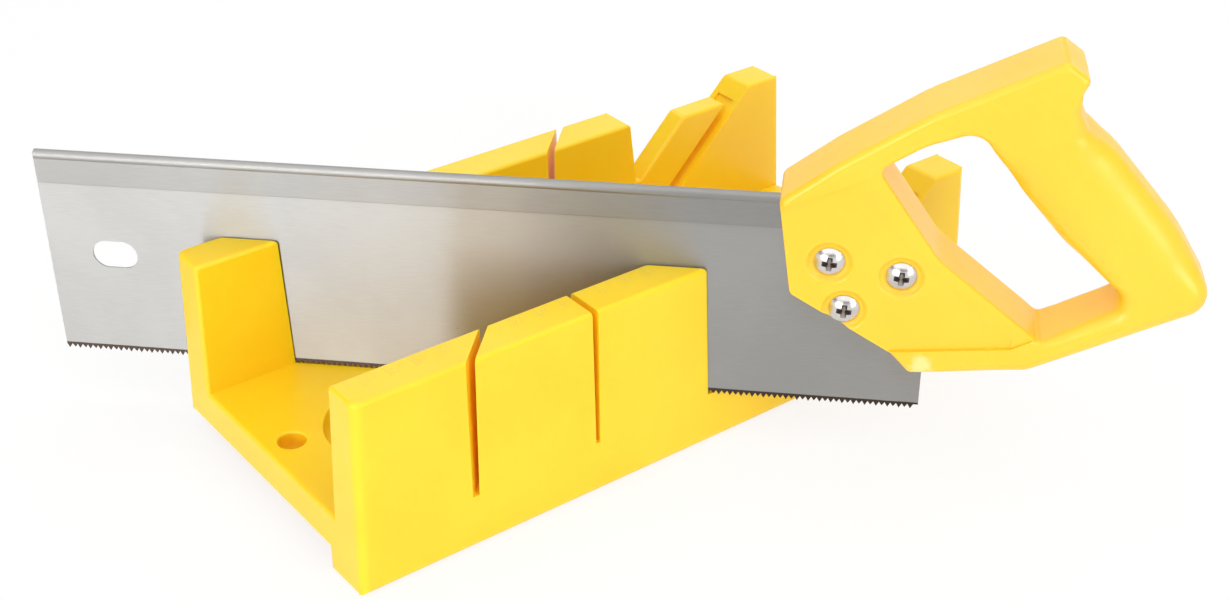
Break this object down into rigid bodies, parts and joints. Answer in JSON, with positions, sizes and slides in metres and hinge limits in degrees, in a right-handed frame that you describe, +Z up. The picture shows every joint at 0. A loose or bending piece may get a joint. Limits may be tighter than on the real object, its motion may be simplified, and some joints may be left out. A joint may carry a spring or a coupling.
{
  "type": "mitre box with saw",
  "caption": "Plastic mitre box with square, mitre and bevel sawing slots and a bench hook, holding a back saw that slides to and fro in one of the mitre slots.",
  "frame": {"origin": "middle of the box's underside, which lies on the bench", "axes": "+X along the box towards its bevel end, +Y away from the user, +Z up; the bench hook is at -Y"},
  "size_m": [0.3157, 0.3085, 0.1683],
  "materials": {
    "box_plastic": "satin moulded yellow plastic with fine surface grain",
    "handle_plastic": "smooth moulded yellow plastic",
    "blade_steel": "rolled steel with fine lengthwise grain and darkened teeth",
    "back_steel": "folded satin steel",
    "screw_chrome": "polished plating"
  },
  "bodies": {
    "box": {"mitre_box": "box_plastic"},
    "saw": {"saw_blade": "blade_steel", "saw_back": "back_steel", "saw_handle": "handle_plastic", "front_screw": "screw_chrome", "rear_screw": "screw_chrome", "lower_screw": "screw_chrome", "front_nut": "screw_chrome", "rear_nut": "screw_chrome", "lower_nut": "screw_chrome"}
  },
  "joints": [
    {"name": "saw_stroke", "type": "slide", "parent": "box", "child": "saw", "axis": [0.7071, -0.7071, 0], "range_m": [-0.014, 0.066]}
  ]
}
